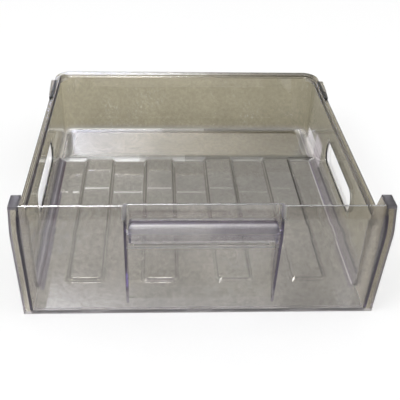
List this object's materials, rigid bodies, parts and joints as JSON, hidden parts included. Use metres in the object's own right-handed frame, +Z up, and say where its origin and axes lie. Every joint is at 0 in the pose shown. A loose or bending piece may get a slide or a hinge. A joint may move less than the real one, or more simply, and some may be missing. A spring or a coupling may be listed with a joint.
{
  "type": "freezer drawer",
  "caption": "Clear moulded freezer drawer: open ribbed tub with hand slots and an outward rim, closed by a taller front panel with a scooped grip bar.",
  "frame": {"origin": "middle of the footprint, on the surface that the drawer stands on", "axes": "+X to the right seen from the front, +Y towards the back, +Z up"},
  "size_m": [0.4208, 0.4475, 0.15],
  "materials": {
    "tub_plastic": "clear smoky moulded polystyrene, glossy",
    "panel_plastic": "clear smoky moulded polystyrene, glossy",
    "grip_plastic": "clear moulded polystyrene with a violet cast, glossy",
    "stop_plastic": "clear grey moulded plastic, slightly scuffed"
  },
  "bodies": {
    "root": {"tub": "tub_plastic", "front_panel": "panel_plastic", "grip_bar": "grip_plastic", "rail_stop_left": "stop_plastic", "rail_stop_right": "stop_plastic"}
  },
  "joints": []
}
